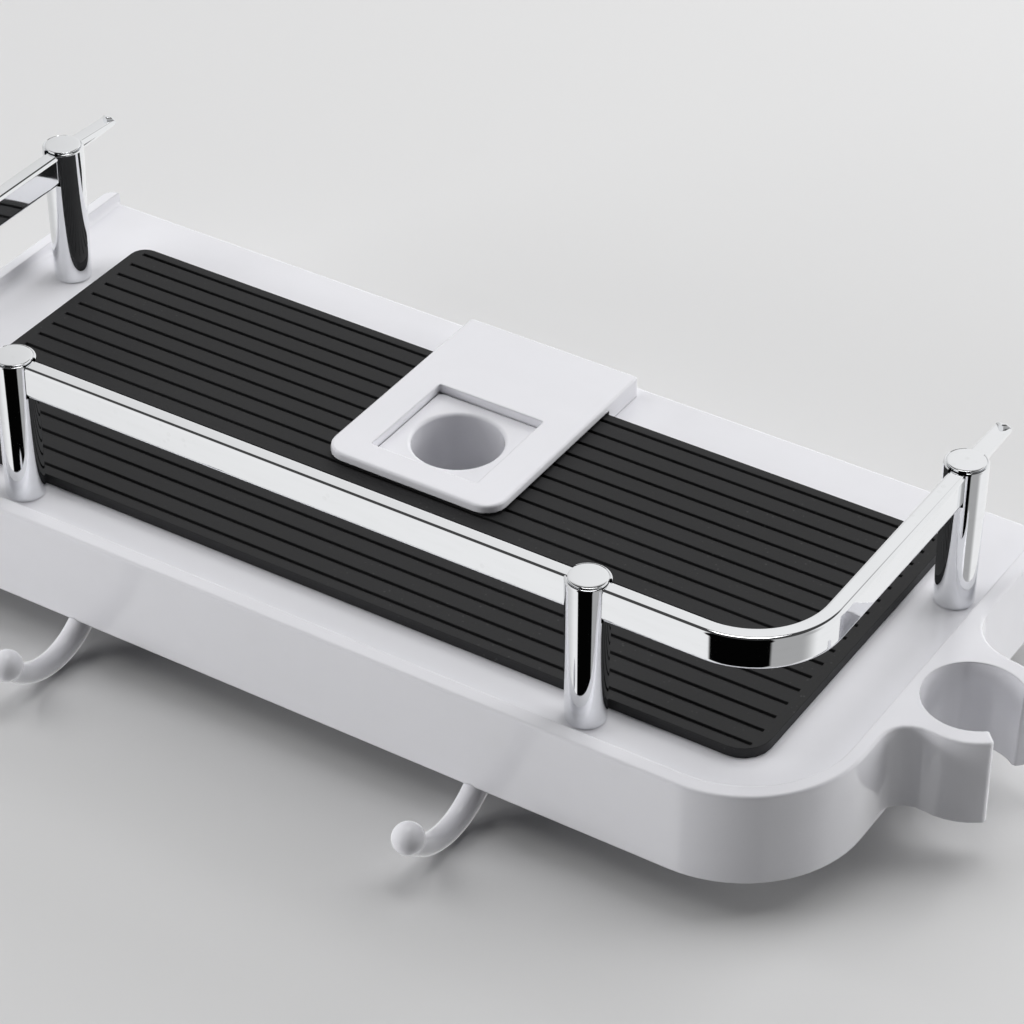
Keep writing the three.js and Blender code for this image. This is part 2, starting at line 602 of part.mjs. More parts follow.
// Cap: a shallow domed disc that closes the slot above the rail
function makeCap() {
  const edge = CAP_RADIUS - CAP_EDGE_ROUND;
  return turned([
    [0, CAP_SEAT], [CAP_RADIUS, CAP_SEAT], [CAP_RADIUS, POST_TOP - CAP_EDGE_ROUND],
    [edge, POST_TOP - CAP_EDGE_ROUND / 4], [0, POST_TOP],
  ], SIDES_MEDIUM);
}

// Hook: an upright peg, the bar along its arc, and the ball on its tip
function makeHook() {
  const bar = hookBar(HOOK_RADIUS, HOOK_TIP_RADIUS);
  const peg = upright(0, HOOK_PEG_Y, HOOK_ARC_Z - HOOK_PEG_OVERLAP, HOOK_PEG_TOP, HOOK_RADIUS, HOOK_SIDES);
  const tip = new HookLine(HOOK_TIP_ANGLE, HOOK_TIP_ANGLE).getPoint(0);
  const ball = new THREE.SphereGeometry(HOOK_BALL_RADIUS, SIDES_BOSS, SIDES_SMALL);
  ball.translate(tip.x, tip.y, tip.z);
  return joined([bar, peg, solid(ball)]).subtract(hookScrewHole(0));
}

// Pan-head screw standing on its head, with its seat at z = 0 and its shank going up
function makeScrew({ shank, head, rise, length }) {
  return turned([
    [0, -rise], [head * 0.55, -rise], [head * 0.9, -rise * 0.62], [head, -rise * 0.2], [head, 0],
    [shank, 0], [shank, length - shank], [shank * 0.3, length], [0, length],
  ], SIDES_SMALL);
}

// Assembly
const shelf = new THREE.Group();
shelf.add(namedMesh('tray', makeTray(), whitePlastic()));
shelf.add(namedMesh('mat', makeMat(), blackRubber()));
shelf.add(namedMesh('collet_cover', makeCover(), whitePlastic()));
shelf.add(namedMesh('reducer_bush', makeBush(), whitePlastic()));
shelf.add(namedMesh('lock_ring', makeLockRing(), whitePlastic()));
shelf.add(namedMesh('guard_rail', makeGuardRail(), chrome()));

const sides = { left: -1, right: 1 };
for (const [sideName, side] of Object.entries(sides)) {
  for (const [rowName, [x, y]] of Object.entries({ front: POST_FRONT, rear: POST_REAR })) {
    const place = `${rowName}_${sideName}`;
    const post = new THREE.Group();
    post.position.set(side * x, y, 0);
    post.add(namedMesh(`post_${place}`, makePost(rowName === 'rear'), chrome()));
    post.add(namedMesh(`post_cap_${place}`, makeCap(), chrome()));
    const screw = namedMesh(`post_screw_${place}`, makeScrew(POST_SCREW), screwSteel());
    screw.position.z = POST_BOSS_BOTTOM;
    post.add(screw);
    shelf.add(post);
  }

  const hook = namedMesh(`hook_${sideName}`, makeHook(), whitePlastic());
  hook.position.x = side * HOOK_X;
  shelf.add(hook);
  const hookScrew = namedMesh(`hook_screw_${sideName}`, makeScrew(HOOK_SCREW), screwSteel());
  hookScrew.rotation.x = Math.PI / 2;
  hookScrew.position.set(side * HOOK_X, HOOK_SCREW_SEAT, HOOK_SCREW_Z);
  shelf.add(hookScrew);
}

COVER_PEGS.forEach(([x, y], index) => {
  const screw = namedMesh(`cover_screw_${index + 1}`, makeScrew(COVER_SCREW), screwSteel());
  screw.position.set(x, y, DECK_BOTTOM);
  shelf.add(screw);
});

export default shelf;
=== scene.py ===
"""Looks of the riser rail shower shelf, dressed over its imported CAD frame.

Metres. +Z is up along the riser rail, +X runs to the handset clip, +Y points to the wall. The sizes of
the pieces are fields in millimetres, as in the part's source.
"""

import json
import logging
import math
from dataclasses import dataclass
from enum import Enum
from typing import Any, Iterable, Sequence

import bmesh
import bpy
from mathutils import Matrix, Vector

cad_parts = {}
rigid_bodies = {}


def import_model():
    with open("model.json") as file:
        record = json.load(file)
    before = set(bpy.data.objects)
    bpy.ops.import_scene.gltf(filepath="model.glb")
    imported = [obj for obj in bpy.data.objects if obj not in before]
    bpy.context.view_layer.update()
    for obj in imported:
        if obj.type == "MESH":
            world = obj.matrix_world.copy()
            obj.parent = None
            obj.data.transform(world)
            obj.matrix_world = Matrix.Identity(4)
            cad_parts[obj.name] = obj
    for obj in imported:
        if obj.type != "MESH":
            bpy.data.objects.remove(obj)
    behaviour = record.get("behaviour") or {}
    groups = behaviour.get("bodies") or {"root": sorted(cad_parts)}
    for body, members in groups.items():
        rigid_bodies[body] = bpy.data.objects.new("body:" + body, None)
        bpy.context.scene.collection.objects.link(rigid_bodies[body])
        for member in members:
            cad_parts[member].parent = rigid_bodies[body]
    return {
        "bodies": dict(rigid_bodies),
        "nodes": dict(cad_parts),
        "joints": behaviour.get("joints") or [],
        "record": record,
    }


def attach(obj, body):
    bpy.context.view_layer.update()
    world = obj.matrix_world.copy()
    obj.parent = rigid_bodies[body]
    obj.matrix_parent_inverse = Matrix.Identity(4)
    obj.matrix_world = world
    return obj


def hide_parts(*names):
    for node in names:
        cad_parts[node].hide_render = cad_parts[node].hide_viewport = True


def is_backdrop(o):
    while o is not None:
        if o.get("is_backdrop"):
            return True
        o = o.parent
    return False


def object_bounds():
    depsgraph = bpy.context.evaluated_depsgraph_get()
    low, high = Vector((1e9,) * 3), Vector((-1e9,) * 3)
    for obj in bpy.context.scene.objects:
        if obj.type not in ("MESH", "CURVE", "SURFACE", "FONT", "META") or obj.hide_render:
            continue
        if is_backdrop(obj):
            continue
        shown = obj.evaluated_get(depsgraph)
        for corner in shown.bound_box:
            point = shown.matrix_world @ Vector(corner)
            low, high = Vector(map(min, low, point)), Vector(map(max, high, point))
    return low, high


Colour = tuple[float, float, float]
Triple = tuple[float, float, float]
Place = tuple[float, float]
Ring = list[Vector]

LOG = logging.getLogger("shower_shelf")
SHELF_BODY = "shelf"
SIDES = (("left", -1), ("right", 1))
MM = 0.001
FLOOR_GAP = 0.1 * MM

# How CAD facets are joined and shaded
FACET_JOIN = 0.002 * MM
FLAT_TURN = math.radians(0.6)
SOFT_CREASE = 50.0

# Carving tools: how far they reach past what they cut, in millimetres, and the sides of a rod
CUT_PAST = 1.0
ROD_SIDES = 24

# Shader nodes
MIX_SHARE, MIX_FIRST, MIX_SECOND, MIX_RESULT = 0, 6, 7, 2
NOISE_FINENESS = 0.55
SPOT_CORE = 0.55
EDGE_SAMPLES = 6
NO_ZERO = 1e-6


class Slot(Enum):
    """The record's material slots."""

    PLASTIC = "white_plastic"
    RUBBER = "black_rubber"
    CHROME = "chrome"
    STEEL = "screw_steel"


class Carving(Enum):
    """What a tool mesh does to the mesh that it works on."""

    CUT = "DIFFERENCE"
    JOIN = "UNION"


@dataclass(frozen=True)
class Layout:
    """Places that more than one sub-assembly keeps to, in millimetres."""

    front_post: Place = (90.9, -79.8)
    rear_post: Place = (148.1, 15.0)
    hook_x: float = 65.0
    hook_screw_y: float = -77.5
    hook_screw_z: float = 16.35


LAYOUT = Layout()


class Socket:
    """One output of a shader node, with arithmetic that adds Math nodes."""

    def __init__(self, graph: "Graph", output: bpy.types.NodeSocket) -> None:
        """Keeps the graph and the output that it stands for."""
        self.graph = graph
        self.output = output

    def __add__(self, other: "Socket | float") -> "Socket":
        """Sum of two values."""
        return self.graph.maths("ADD", self, other)

    def __radd__(self, other: float) -> "Socket":
        """Sum with a number on the left."""
        return self.graph.maths("ADD", other, self)

    def __sub__(self, other: "Socket | float") -> "Socket":
        """Difference of two values."""
        return self.graph.maths("SUBTRACT", self, other)

    def __rsub__(self, other: float) -> "Socket":
        """Difference with a number on the left."""
        return self.graph.maths("SUBTRACT", other, self)

    def __mul__(self, other: "Socket | float") -> "Socket":
        """Product of two values."""
        return self.graph.maths("MULTIPLY", self, other)

    def __rmul__(self, other: float) -> "Socket":
        """Product with a number on the left."""
        return self.graph.maths("MULTIPLY", other, self)

    def __truediv__(self, other: "Socket | float") -> "Socket":
        """Quotient of two values."""
        return self.graph.maths("DIVIDE", self, other)

    def __rtruediv__(self, other: float) -> "Socket":
        """Quotient with a number on the left."""
        return self.graph.maths("DIVIDE", other, self)

    def __pow__(self, power: "Socket | float") -> "Socket":
        """Power of a value."""
        return self.graph.maths("POWER", self, power)

    def step(self, low: float, high: float) -> "Socket":
        """Smooth step from 0 at low to 1 at high.

        Args:
            low: Value that gives 0.
            high: Value that gives 1; it may be smaller than low.

        Returns:
            The stepped value.
        """
        falls = low > high
        first, last = (high, low) if falls else (low, high)
        ends = {"To Min": 1.0, "To Max": 0.0} if falls else {"To Min": 0.0, "To Max": 1.0}
        settings = {"interpolation_type": "SMOOTHSTEP"}
        inputs = {"Value": self, "From Min": first, "From Max": last, **ends}
        return self.graph.add("ShaderNodeMapRange", settings, inputs)


class Graph:
    """A node tree that is written as expressions."""

    def __init__(self, tree: bpy.types.NodeTree) -> None:
        """Empties a node tree and keeps it."""
        self.tree = tree
        tree.nodes.clear()

    def node(self, kind: str, settings: dict[str, Any], inputs: dict[str | int, Any]) -> bpy.types.Node:
        """Adds one node of any type.

        Args:
            kind: Blender's name of the node type.
            settings: Properties to set first, such as a Math node's operation.
            inputs: Values or sockets for its inputs, by name or by index.

        Returns:
            The new node.
        """
        made = self.tree.nodes.new(kind)
        for name, value in settings.items():
            setattr(made, name, value)
        for name, value in inputs.items():
            if isinstance(value, Socket):
                self.tree.links.new(value.output, made.inputs[name])
            else:
                made.inputs[name].default_value = value
        return made

    def add(
        self,
        kind: str,
        settings: dict[str, Any] | None = None,
        inputs: dict[str | int, Any] | None = None,
        output: str | int = 0,
    ) -> Socket:
        """Adds one node and returns one of its outputs.

        Args:
            kind: Blender's name of the node type.
            settings: Properties to set first.
            inputs: Values or sockets for its inputs.
            output: Name or index of the output.

        Returns:
            That output as a socket.
        """
        made = self.node(kind, settings or {}, inputs or {})
        return Socket(self, made.outputs[output])

    def maths(self, operation: str, first: Socket | float, second: Socket | float) -> Socket:
        """Adds one Math node on two values."""
        return self.add("ShaderNodeMath", {"operation": operation}, {0: first, 1: second})

    def blend(self, share: Socket | float, first: Socket | Colour, second: Socket | Colour) -> Socket:
        """Mixes two colours.

        Args:
            share: Share of the second colour.
            first: Colour at 0.
            second: Colour at 1.

        Returns:
            The mixed colour.
        """
        a, b = (c if isinstance(c, Socket) else (*c, 1.0) for c in (first, second))
        settings = {"data_type": "RGBA", "clamp_factor": True}
        inputs = {MIX_SHARE: share, MIX_FIRST: a, MIX_SECOND: b}
        return self.add("ShaderNodeMix", settings, inputs, MIX_RESULT)

    def rounded(self, radius: float) -> Socket:
        """A normal that turns round sharp edges over a radius in metres."""
        return self.add("ShaderNodeBevel", {"samples": EDGE_SAMPLES}, {"Radius": radius})

    def surface(self, **inputs: Any) -> None:
        """Ends a material with a Principled shader.

        Args:
            inputs: Values or sockets by the shader's own names, in lower case with underscores.
        """
        named = {name.replace("_", " ").title().replace("Ior", "IOR"): v for name, v in inputs.items()}
        shader = self.add("ShaderNodeBsdfPrincipled", {}, named)
        self.node("ShaderNodeOutputMaterial", {}, {"Surface": shader})


def new_material(name: str) -> tuple[bpy.types.Material, Graph, Socket]:
    """Starts a node material.

    Args:
        name: Name of the material.

    Returns:
        The material, its empty graph, and its object coordinates in metres.
    """
    material = bpy.data.materials.new(name)
    material.use_nodes = True
    graph = Graph(material.node_tree)
    coords = graph.add("ShaderNodeTexCoord", {}, {}, "Object")
    return material, graph, coords


@dataclass(frozen=True)
class Mottle:
    """A noise pattern of so many cells in a metre, and how much it tints and roughens the surface."""

    cells: float
    octaves: float = 3.0
    stretch: Triple | None = None
    span: Place | None = None
    tint: float = 0.0
    rough: float = 0.0

    def over(self, graph: Graph, coords: Socket) -> Socket:
        """Lays the pattern over a surface.

        Args:
            graph: The material's graph.
            coords: The surface's coordinates in metres.

        Returns:
            The pattern's value between 0 and 1.
        """
        if self.stretch:
            factors = {0: coords, 1: self.stretch}
            coords = graph.add("ShaderNodeVectorMath", {"operation": "MULTIPLY"}, factors)
        inputs = {"Vector": coords, "Scale": self.cells, "Detail": self.octaves, "Roughness": NOISE_FINENESS}
        value = graph.add("ShaderNodeTexNoise", {}, inputs, "Fac")
        return value.step(*self.span) if self.span else value


@dataclass(frozen=True)
class Scatter:
    """Round spots that lie in patches, with a radius in shares of a cell, and their tint and roughness."""

    cells: float
    radius: float
    patches: Mottle
    tint: float
    rough: float = 0.0

    def over(self, graph: Graph, coords: Socket) -> Socket:
        """Lays the spots over a surface.

        Args:
            graph: The material's graph.
            coords: The surface's coordinates in metres.

        Returns:
            The mask of the spots: 1 inside a spot, 0 outside.
        """
        inputs = {"Vector": coords, "Scale": self.cells, "Randomness": 1.0}
        distance = graph.add("ShaderNodeTexVoronoi", {"feature": "F1"}, inputs, "Distance")
        return distance.step(self.radius, self.radius * SPOT_CORE) * self.patches.over(graph, coords)


@dataclass(frozen=True)
class Relief:
    """How a bump stands out: the depth in metres of a height of 1, and the share of the effect."""

    depth: float
    share: float

    def normal(self, graph: Graph, height: Socket, start: Socket | None = None) -> Socket:
        """Bumps a normal by a height.

        Args:
            graph: The material's graph.
            height: Height between 0 and 1.
            start: The normal to start from, if it isn't the surface's own.

        Returns:
            The bumped normal.
        """
        inputs: dict[str | int, Any] = {"Height": height, "Distance": self.depth, "Strength": self.share}
        if start:
            inputs["Normal"] = start
        return graph.add("ShaderNodeBump", {}, inputs, "Normal")


@dataclass(frozen=True)
class GlossPlastic:
    """Glossy cool-white moulded plastic with faint flow marks and fine scratches."""

    name: str = "gloss_white_plastic"
    colour: Colour = (0.80, 0.799, 0.835)
    flow_colour: Colour = (0.765, 0.766, 0.80)
    worn_colour: Colour = (0.72, 0.72, 0.745)
    roughness: float = 0.11
    refraction: float = 1.48
    edge_round: float = 0.0007
    flow: Mottle = Mottle(16.0, 3.0, (1.0, 2.2, 1.6), (0.35, 0.75), tint=0.5, rough=0.03)
    haze: Mottle = Mottle(70.0, 5.0, None, (0.42, 0.78), tint=0.14, rough=0.04)
    scratch: Mottle = Mottle(2600.0, 2.0, (0.03, 1.0, 1.0), (0.6, 0.8), tint=0.05, rough=0.05)
    grain: Mottle = Mottle(3200.0, 2.0)
    scratch_height: float = 0.25
    relief: Relief = Relief(0.00001, 0.25)

    def material(self) -> bpy.types.Material:
        """Builds the plastic.

        Returns:
            The finished material.
        """
        material, graph, coords = new_material(self.name)
        flow = self.flow.over(graph, coords)
        haze = self.haze.over(graph, coords)
        scratch = self.scratch.over(graph, coords)
        grain = self.grain.over(graph, coords)
        colour = graph.blend(flow * self.flow.tint, self.colour, self.flow_colour)
        wear = haze * self.haze.tint + scratch * self.scratch.tint
        rough = self.roughness + flow * self.flow.rough + haze * self.haze.rough
        height = grain + scratch * self.scratch_height
        graph.surface(
            base_color=graph.blend(wear, colour, self.worn_colour),
            roughness=rough + scratch * self.scratch.rough,
            ior=self.refraction,
            normal=self.relief.normal(graph, height, graph.rounded(self.edge_round)),
        )
        return material


@dataclass(frozen=True)
class MatRubber:
    """Matt near-black rubber with a fine moulded grain and a little dust."""

    name: str = "grooved_black_rubber"
    colour: Colour = (0.008, 0.008, 0.0086)
    bloom_colour: Colour = (0.019, 0.019, 0.02)
    dust_colour: Colour = (0.10, 0.10, 0.10)
    roughness: float = 0.52
    refraction: float = 1.5
    sheen: float = 0.45
    bloom: Mottle = Mottle(26.0, 4.0, (0.5, 1.6, 1.0), (0.38, 0.72), tint=0.55, rough=0.08)
    grain: Mottle = Mottle(5200.0, 2.0, tint=0.15)
    pores: Mottle = Mottle(1500.0, 3.0, rough=0.1)
    dust: Scatter = Scatter(420.0, 0.16, Mottle(18.0, 3.0, None, (0.45, 0.7)), tint=0.3)
    grain_height: float = 0.6
    pore_height: float = 0.4
    relief: Relief = Relief(0.00004, 0.5)

    def material(self) -> bpy.types.Material:
        """Builds the rubber.

        Returns:
            The finished material.
        """
        material, graph, coords = new_material(self.name)
        bloom = self.bloom.over(graph, coords)
        grain = self.grain.over(graph, coords)
        pores = self.pores.over(graph, coords)
        dust = self.dust.over(graph, coords)
        pale = bloom * self.bloom.tint + grain * self.grain.tint
        colour = graph.blend(pale, self.colour, self.bloom_colour)
        height = grain * self.grain_height + pores * self.pore_height
        graph.surface(
            base_color=graph.blend(dust * self.dust.tint, colour, self.dust_colour),
            roughness=self.roughness + bloom * self.bloom.rough + pores * self.pores.rough,
            ior=self.refraction,
            specular_ior_level=self.sheen,
            normal=self.relief.normal(graph, height),
        )
        return material


@dataclass(frozen=True)
class MirrorChrome:
    """Bright plated chrome with faint wipe marks and dried water spots."""

    name: str = "mirror_chrome"
    colour: Colour = (0.86, 0.87, 0.885)
    stain_colour: Colour = (0.77, 0.78, 0.785)
    roughness: float = 0.035
    wipe: Mottle = Mottle(60.0, 4.0, (1.0, 1.0, 5.0), (0.4, 0.75), tint=0.25, rough=0.025)
    spots: Scatter = Scatter(260.0, 0.24, Mottle(45.0, 3.0, None, (0.5, 0.66)), tint=0.35, rough=0.05)
    ripple: Mottle = Mottle(240.0, 1.0)
    relief: Relief = Relief(0.000006, 0.25)

    def material(self) -> bpy.types.Material:
        """Builds the plating.

        Returns:
            The finished material.
        """
        material, graph, coords = new_material(self.name)
        wipe = self.wipe.over(graph, coords)
        spots = self.spots.over(graph, coords)
        ripple = self.ripple.over(graph, coords)
        stain = wipe * self.wipe.tint + spots * self.spots.tint
        graph.surface(
            base_color=graph.blend(stain, self.colour, self.stain_colour),
            metallic=1.0,
            roughness=self.roughness + wipe * self.wipe.rough + spots * self.spots.rough,
            normal=self.relief.normal(graph, ripple),
        )
        return material


@dataclass(frozen=True)
class TurnedSteel:
    """Plain stainless steel with turning marks and a slightly dull film."""

    name: str = "turned_screw_steel"
    colour: Colour = (0.56, 0.57, 0.58)
    dull_colour: Colour = (0.40, 0.405, 0.41)
    roughness: float = 0.3
    film: Mottle = Mottle(700.0, 4.0, None, (0.35, 0.7), tint=0.6, rough=0.12)
    marks: Mottle = Mottle(1500.0, 2.0, (1.0, 1.0, 12.0))
    relief: Relief = Relief(0.00002, 0.3)

    def material(self) -> bpy.types.Material:
        """Builds the steel.

        Returns:
            The finished material.
        """
        material, graph, coords = new_material(self.name)
        film = self.film.over(graph, coords)
        marks = self.marks.over(graph, coords)
        graph.surface(
            base_color=graph.blend(film * self.film.tint, self.colour, self.dull_colour),
            metallic=1.0,
            roughness=self.roughness + film * self.film.rough,
            normal=self.relief.normal(graph, marks),
        )
        return material


@dataclass(frozen=True)
class StudioPaper:
    """Plain studio paper with a barely visible tooth, pale unless it gets other colours."""

    name: str = "pale_floor"
    colour: Colour = (0.70, 0.70, 0.70)
    shade_colour: Colour = (0.68, 0.68, 0.685)
    roughness: float = 0.9
    tone: Mottle = Mottle(3.0, 2.0)
    tooth: Mottle = Mottle(900.0, 2.0)
    relief: Relief = Relief(0.00004, 0.15)

    def material(self) -> bpy.types.Material:
        """Builds the paper.

        Returns:
            The finished material.
        """
        material, graph, coords = new_material(self.name)
        tone = self.tone.over(graph, coords)
        tooth = self.tooth.over(graph, coords)
        graph.surface(
            base_color=graph.blend(tone, self.colour, self.shade_colour),
            roughness=self.roughness,
            normal=self.relief.normal(graph, tooth),
        )
        return material


def circle(sides: int) -> list[float]:
    """Angles of evenly spaced points round a full circle."""
    return [2 * math.pi * i / sides for i in range(sides)]


def quarter_turn(steps: int) -> list[float]:
    """Angles from 0 to a right angle in even steps, with both ends."""
    return [math.pi / 2 * i / steps for i in range(steps + 1)]


def skin(name: str, rings: Sequence[Ring]) -> bpy.types.Mesh:
    """Joins rings of points into one closed skin with flat ends.

    Args:
        name: Name of the mesh.
        rings: Rings of equally many points, in metres, turning left about their direction of travel.

    Returns:
        The closed mesh.
    """
    count = len(rings[0])
    points = [point for ring in rings for point in ring]
    faces: list[list[int]] = [list(range(count))[::-1]]
    for row in range(len(rings) - 1):
        base = row * count
        for i in range(count):
            j = (i + 1) % count
            faces.append([base + i, base + j, base + count + j, base + count + i])
    last = (len(rings) - 1) * count
    faces.append(list(range(last, last + count)))
    mesh = bpy.data.meshes.new(name)
    mesh.from_pydata([point[:] for point in points], [], faces)
    mesh.validate()
    return mesh


def shade(mesh: bpy.types.Mesh, crease: float) -> None:
    """Shades a mesh smooth, apart from edges sharper than a crease.

    Args:
        mesh: The mesh.
        crease: Smallest angle of a sharp edge, in degrees.
    """
    mesh.polygons.foreach_set("use_smooth", [True] * len(mesh.polygons))
    mesh.set_sharp_from_angle(angle=math.radians(crease))


def turned(profile: Sequence[Place], sides: int) -> list[Ring]:
    """Rings of a form that is turned about Z.

    Args:
        profile: Pairs of radius and height in millimetres, from one end to the other.
        sides: Points around.

    Returns:
        One ring for each pair, in metres.
    """
    turns = circle(sides)
    return [[Vector((r * math.cos(a), r * math.sin(a), z)) * MM for a in turns] for r, z in profile]


def box_mesh(low: Triple, high: Triple) -> bpy.types.Mesh:
    """A box between two corners in millimetres, for carving."""
    corners = ((low[0], low[1]), (high[0], low[1]), (high[0], high[1]), (low[0], high[1]))
    return skin("cutter", [[Vector((x, y, z)) * MM for x, y in corners] for z in (low[2], high[2])])


def rod_mesh(radius: float, low: float, high: float) -> bpy.types.Mesh:
    """A round rod along Z between two heights in millimetres, for carving."""
    return skin("cutter", turned([(radius, low), (radius, high)], ROD_SIDES))


def carved(
    body: bpy.types.Mesh, tools: Iterable[bpy.types.Mesh], way: Carving = Carving.CUT
) -> bpy.types.Mesh:
    """Cuts closed tool meshes out of a closed mesh, or joins them to it.

    Args:
        body: The mesh to work on.
        tools: The forms to take away or to add.
        way: Whether the tools are cut out or joined.

    Returns:
        A new mesh.
    """
    collection = bpy.context.scene.collection
    holder = bpy.data.objects.new("carving", body)
    helpers = [holder]
    for tool in tools:
        helper = bpy.data.objects.new("cutter", tool)
        helpers.append(helper)
        cut = holder.modifiers.new("cut", "BOOLEAN")
        cut.operation = way.value
        cut.solver = "EXACT"
        cut.object = helper
    for helper in helpers:
        collection.objects.link(helper)
    graph = bpy.context.evaluated_depsgraph_get()
    result = bpy.data.meshes.new_from_object(holder.evaluated_get(graph))
    result.name = body.name
    for helper in helpers:
        mesh = helper.data
        bpy.data.objects.remove(helper)
        bpy.data.meshes.remove(mesh)
    return result


def add_piece(
    name: str, mesh: bpy.types.Mesh, finish: bpy.types.Material, nodes: Sequence[str]
) -> bpy.types.Object:
    """Puts a new piece on the shelf in place of CAD nodes.

    Args:
        name: Name of the piece.
        mesh: Its mesh, in the frame's coordinates.
        finish: Its material.
        nodes: The CAD nodes that it replaces.

    Returns:
        The new object.
    """
    piece = bpy.data.objects.new(name, mesh)
    bpy.context.scene.collection.objects.link(piece)
    mesh.materials.clear()
    mesh.materials.append(finish)
    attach(piece, SHELF_BODY)
    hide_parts(*nodes)
    LOG.info("%s stands for %s, %d faces", name, ", ".join(nodes), len(mesh.polygons))
    return piece


def weigh_normals(piece: bpy.types.Object) -> None:
    """Keeps large faces flat beside rounded edges."""
    normals = piece.modifiers.new("face_weights", "WEIGHTED_NORMAL")
    normals.keep_sharp = True


def soften(piece: bpy.types.Object) -> None:
    """Merges flat facets and shades rounded edges smooth, with modifiers.

    Args:
        piece: The object; its own mesh keeps its points.
    """
    piece.data.polygons.foreach_set("use_smooth", [True] * len(piece.data.polygons))
    weld = piece.modifiers.new("join_facets", "WELD")
    weld.merge_threshold = FACET_JOIN
    flats = piece.modifiers.new("flat_faces", "DECIMATE")
    flats.decimate_type = "DISSOLVE"
    flats.angle_limit = FLAT_TURN
    creases = piece.modifiers.new("creases", "EDGE_SPLIT")
    creases.use_edge_sharp = False
    creases.split_angle = math.radians(SOFT_CREASE)
    weigh_normals(piece)


def joined_facets(mesh: bpy.types.Mesh) -> bmesh.types.BMesh:
    """Copies a CAD mesh so that its facets share their points.

    Args:
        mesh: The CAD mesh.

    Returns:
        The joined copy, which the caller frees.
    """
    form = bmesh.new()
    form.from_mesh(mesh)
    bmesh.ops.remove_doubles(form, verts=form.verts, dist=FACET_JOIN)
    return form


def to_mesh(name: str, form: bmesh.types.BMesh) -> bpy.types.Mesh:
    """Makes a mesh of a form and frees the form.

    Args:
        name: Name of the mesh.
        form: The form.

    Returns:
        The new mesh.
    """
    mesh = bpy.data.meshes.new(name)
    form.to_mesh(mesh)
    form.free()
    return mesh


@dataclass
class Mouldings:
    """The moulded white pieces that keep their CAD shapes: tray, bush and lock ring."""

    finish: bpy.types.Material
    nodes: tuple[str, ...] = ("tray", "reducer_bush", "lock_ring")

    def dress(self, frame: dict[str, Any]) -> None:
        """Smooths the rounded edges of each moulding and gives it its plastic.

        Args:
            frame: The loaded CAD frame.
        """
        for node in self.nodes:
            piece = frame["nodes"][node]
            normals = piece.data.attributes.get("custom_normal")
            if normals:
                piece.data.attributes.remove(normals)
            soften(piece)
            piece.data.materials.clear()
            piece.data.materials.append(self.finish)
            LOG.info("%s dressed as moulded plastic", node)


@dataclass
class WindowCover:
    """The white plate over the collet; a slim rim under its window shuts the gap to the bush."""

    finish: bpy.types.Material
    window_half: float = 17.5
    rim_wall: float = 1.0
    rim_low: float = 28.2
    rim_high: float = 29.4

    def build(self, frame: dict[str, Any]) -> None:
        """Makes the rimmed plate in place of the CAD plate.

        Args:
            frame: The loaded CAD frame.
        """
        plate = to_mesh("window_cover", joined_facets(frame["nodes"]["collet_cover"].data))
        half = self.window_half
        wide = half + self.rim_wall
        hole_low = self.rim_low - CUT_PAST
        hole_high = self.rim_high + CUT_PAST
        rim = carved(
            box_mesh((-wide, -wide, self.rim_low), (wide, wide, self.rim_high)),
            [box_mesh((-half, -half, hole_low), (half, half, hole_high))],
        )
        mesh = carved(plate, [rim], Carving.JOIN)
        soften(add_piece("window_cover", mesh, self.finish, ["collet_cover"]))


@dataclass
class GroovedMat:
    """The black rubber mat: the CAD sheet with the edges of its ribs and rim rounded."""

    finish: bpy.types.Material
    edge_round: float = 0.22
    edge_profile: float = 0.5
    edge_turn: float = 40.0
    segments: int = 2
    crease: float = 50.0

    def build(self, frame: dict[str, Any]) -> None:
        """Makes the rounded mat in place of the CAD sheet.

        Args:
            frame: The loaded CAD frame.
        """
        form = joined_facets(frame["nodes"]["mat"].data)
        bmesh.ops.dissolve_limit(form, angle_limit=FLAT_TURN, verts=form.verts, edges=form.edges)
        least = math.radians(self.edge_turn)
        sharp = [e for e in form.edges if e.is_manifold and e.calc_face_angle() > least]
        bmesh.ops.bevel(
            form,
            geom=sharp,
            offset=self.edge_round * MM,
            offset_type="OFFSET",
            segments=self.segments,
            profile=self.edge_profile,
            affect="EDGES",
        )
        mesh = to_mesh("grooved_mat", form)
        shade(mesh, self.crease)
        weigh_normals(add_piece("grooved_mat", mesh, self.finish, ["mat"]))


